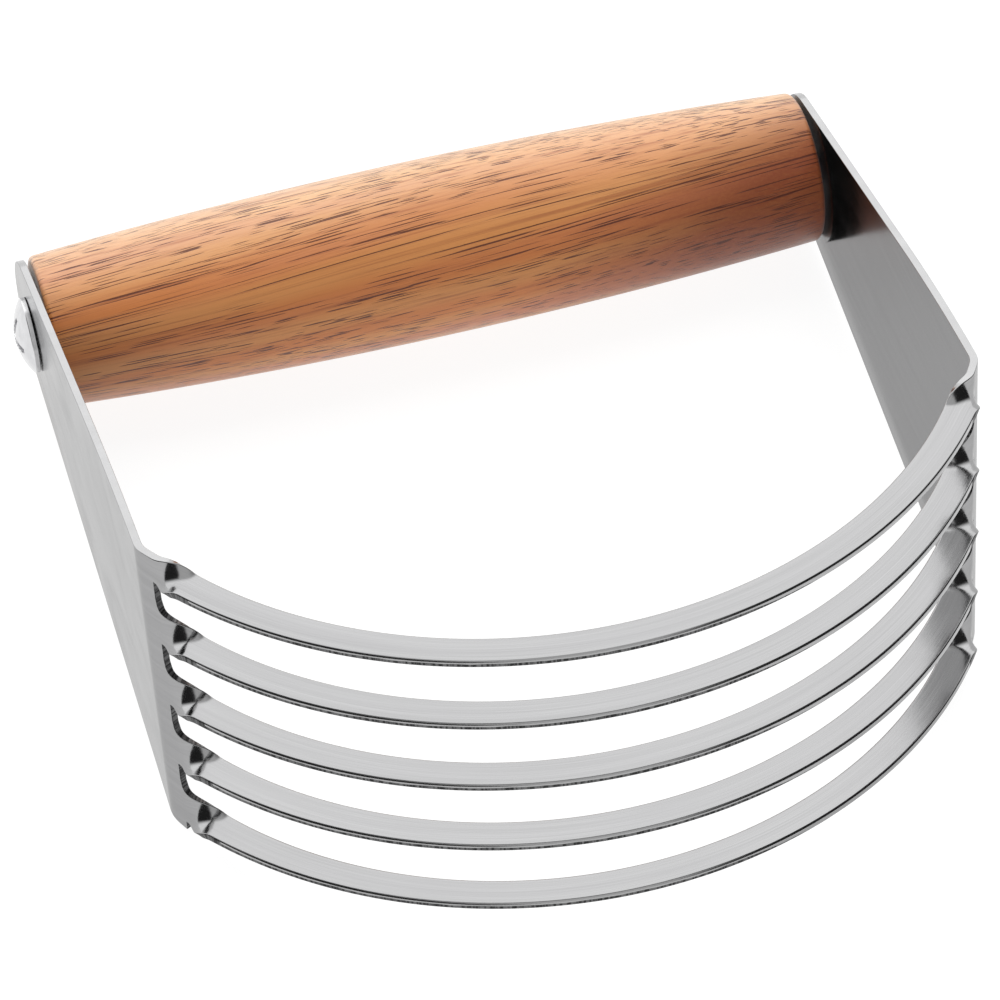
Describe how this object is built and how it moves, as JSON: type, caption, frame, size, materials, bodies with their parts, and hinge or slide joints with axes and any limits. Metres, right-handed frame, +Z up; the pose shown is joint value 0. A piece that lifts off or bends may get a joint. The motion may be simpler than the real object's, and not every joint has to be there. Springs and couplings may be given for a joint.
{
  "type": "pastry blender",
  "caption": "Hand-held pastry blender: curved, parallel steel blades between two flared flat arms, with a turned wooden handle held by an end screw at each side.",
  "frame": {"origin": "centre of the bounding box's underside, on the table that the tool lies on", "axes": "+X along the handle, +Y from the blades towards the handle, +Z up from the table; the tool lies on its handle and the lower corners of its arms"},
  "size_m": [0.1228, 0.1268, 0.054],
  "materials": {
    "sheet_steel": "polished, with fine brushing",
    "turned_wood": "smooth, thinly varnished",
    "screw_steel": "polished"
  },
  "bodies": {
    "frame": {"blade_frame": "sheet_steel"},
    "grip": {"handle": "turned_wood", "left_screw": "screw_steel", "right_screw": "screw_steel"}
  },
  "joints": [
    {"name": "handle_turn", "type": "hinge", "parent": "frame", "child": "grip", "pos_m": [0, 0.05045, 0.01295], "axis": [1, 0, 0], "continuous": true}
  ]
}
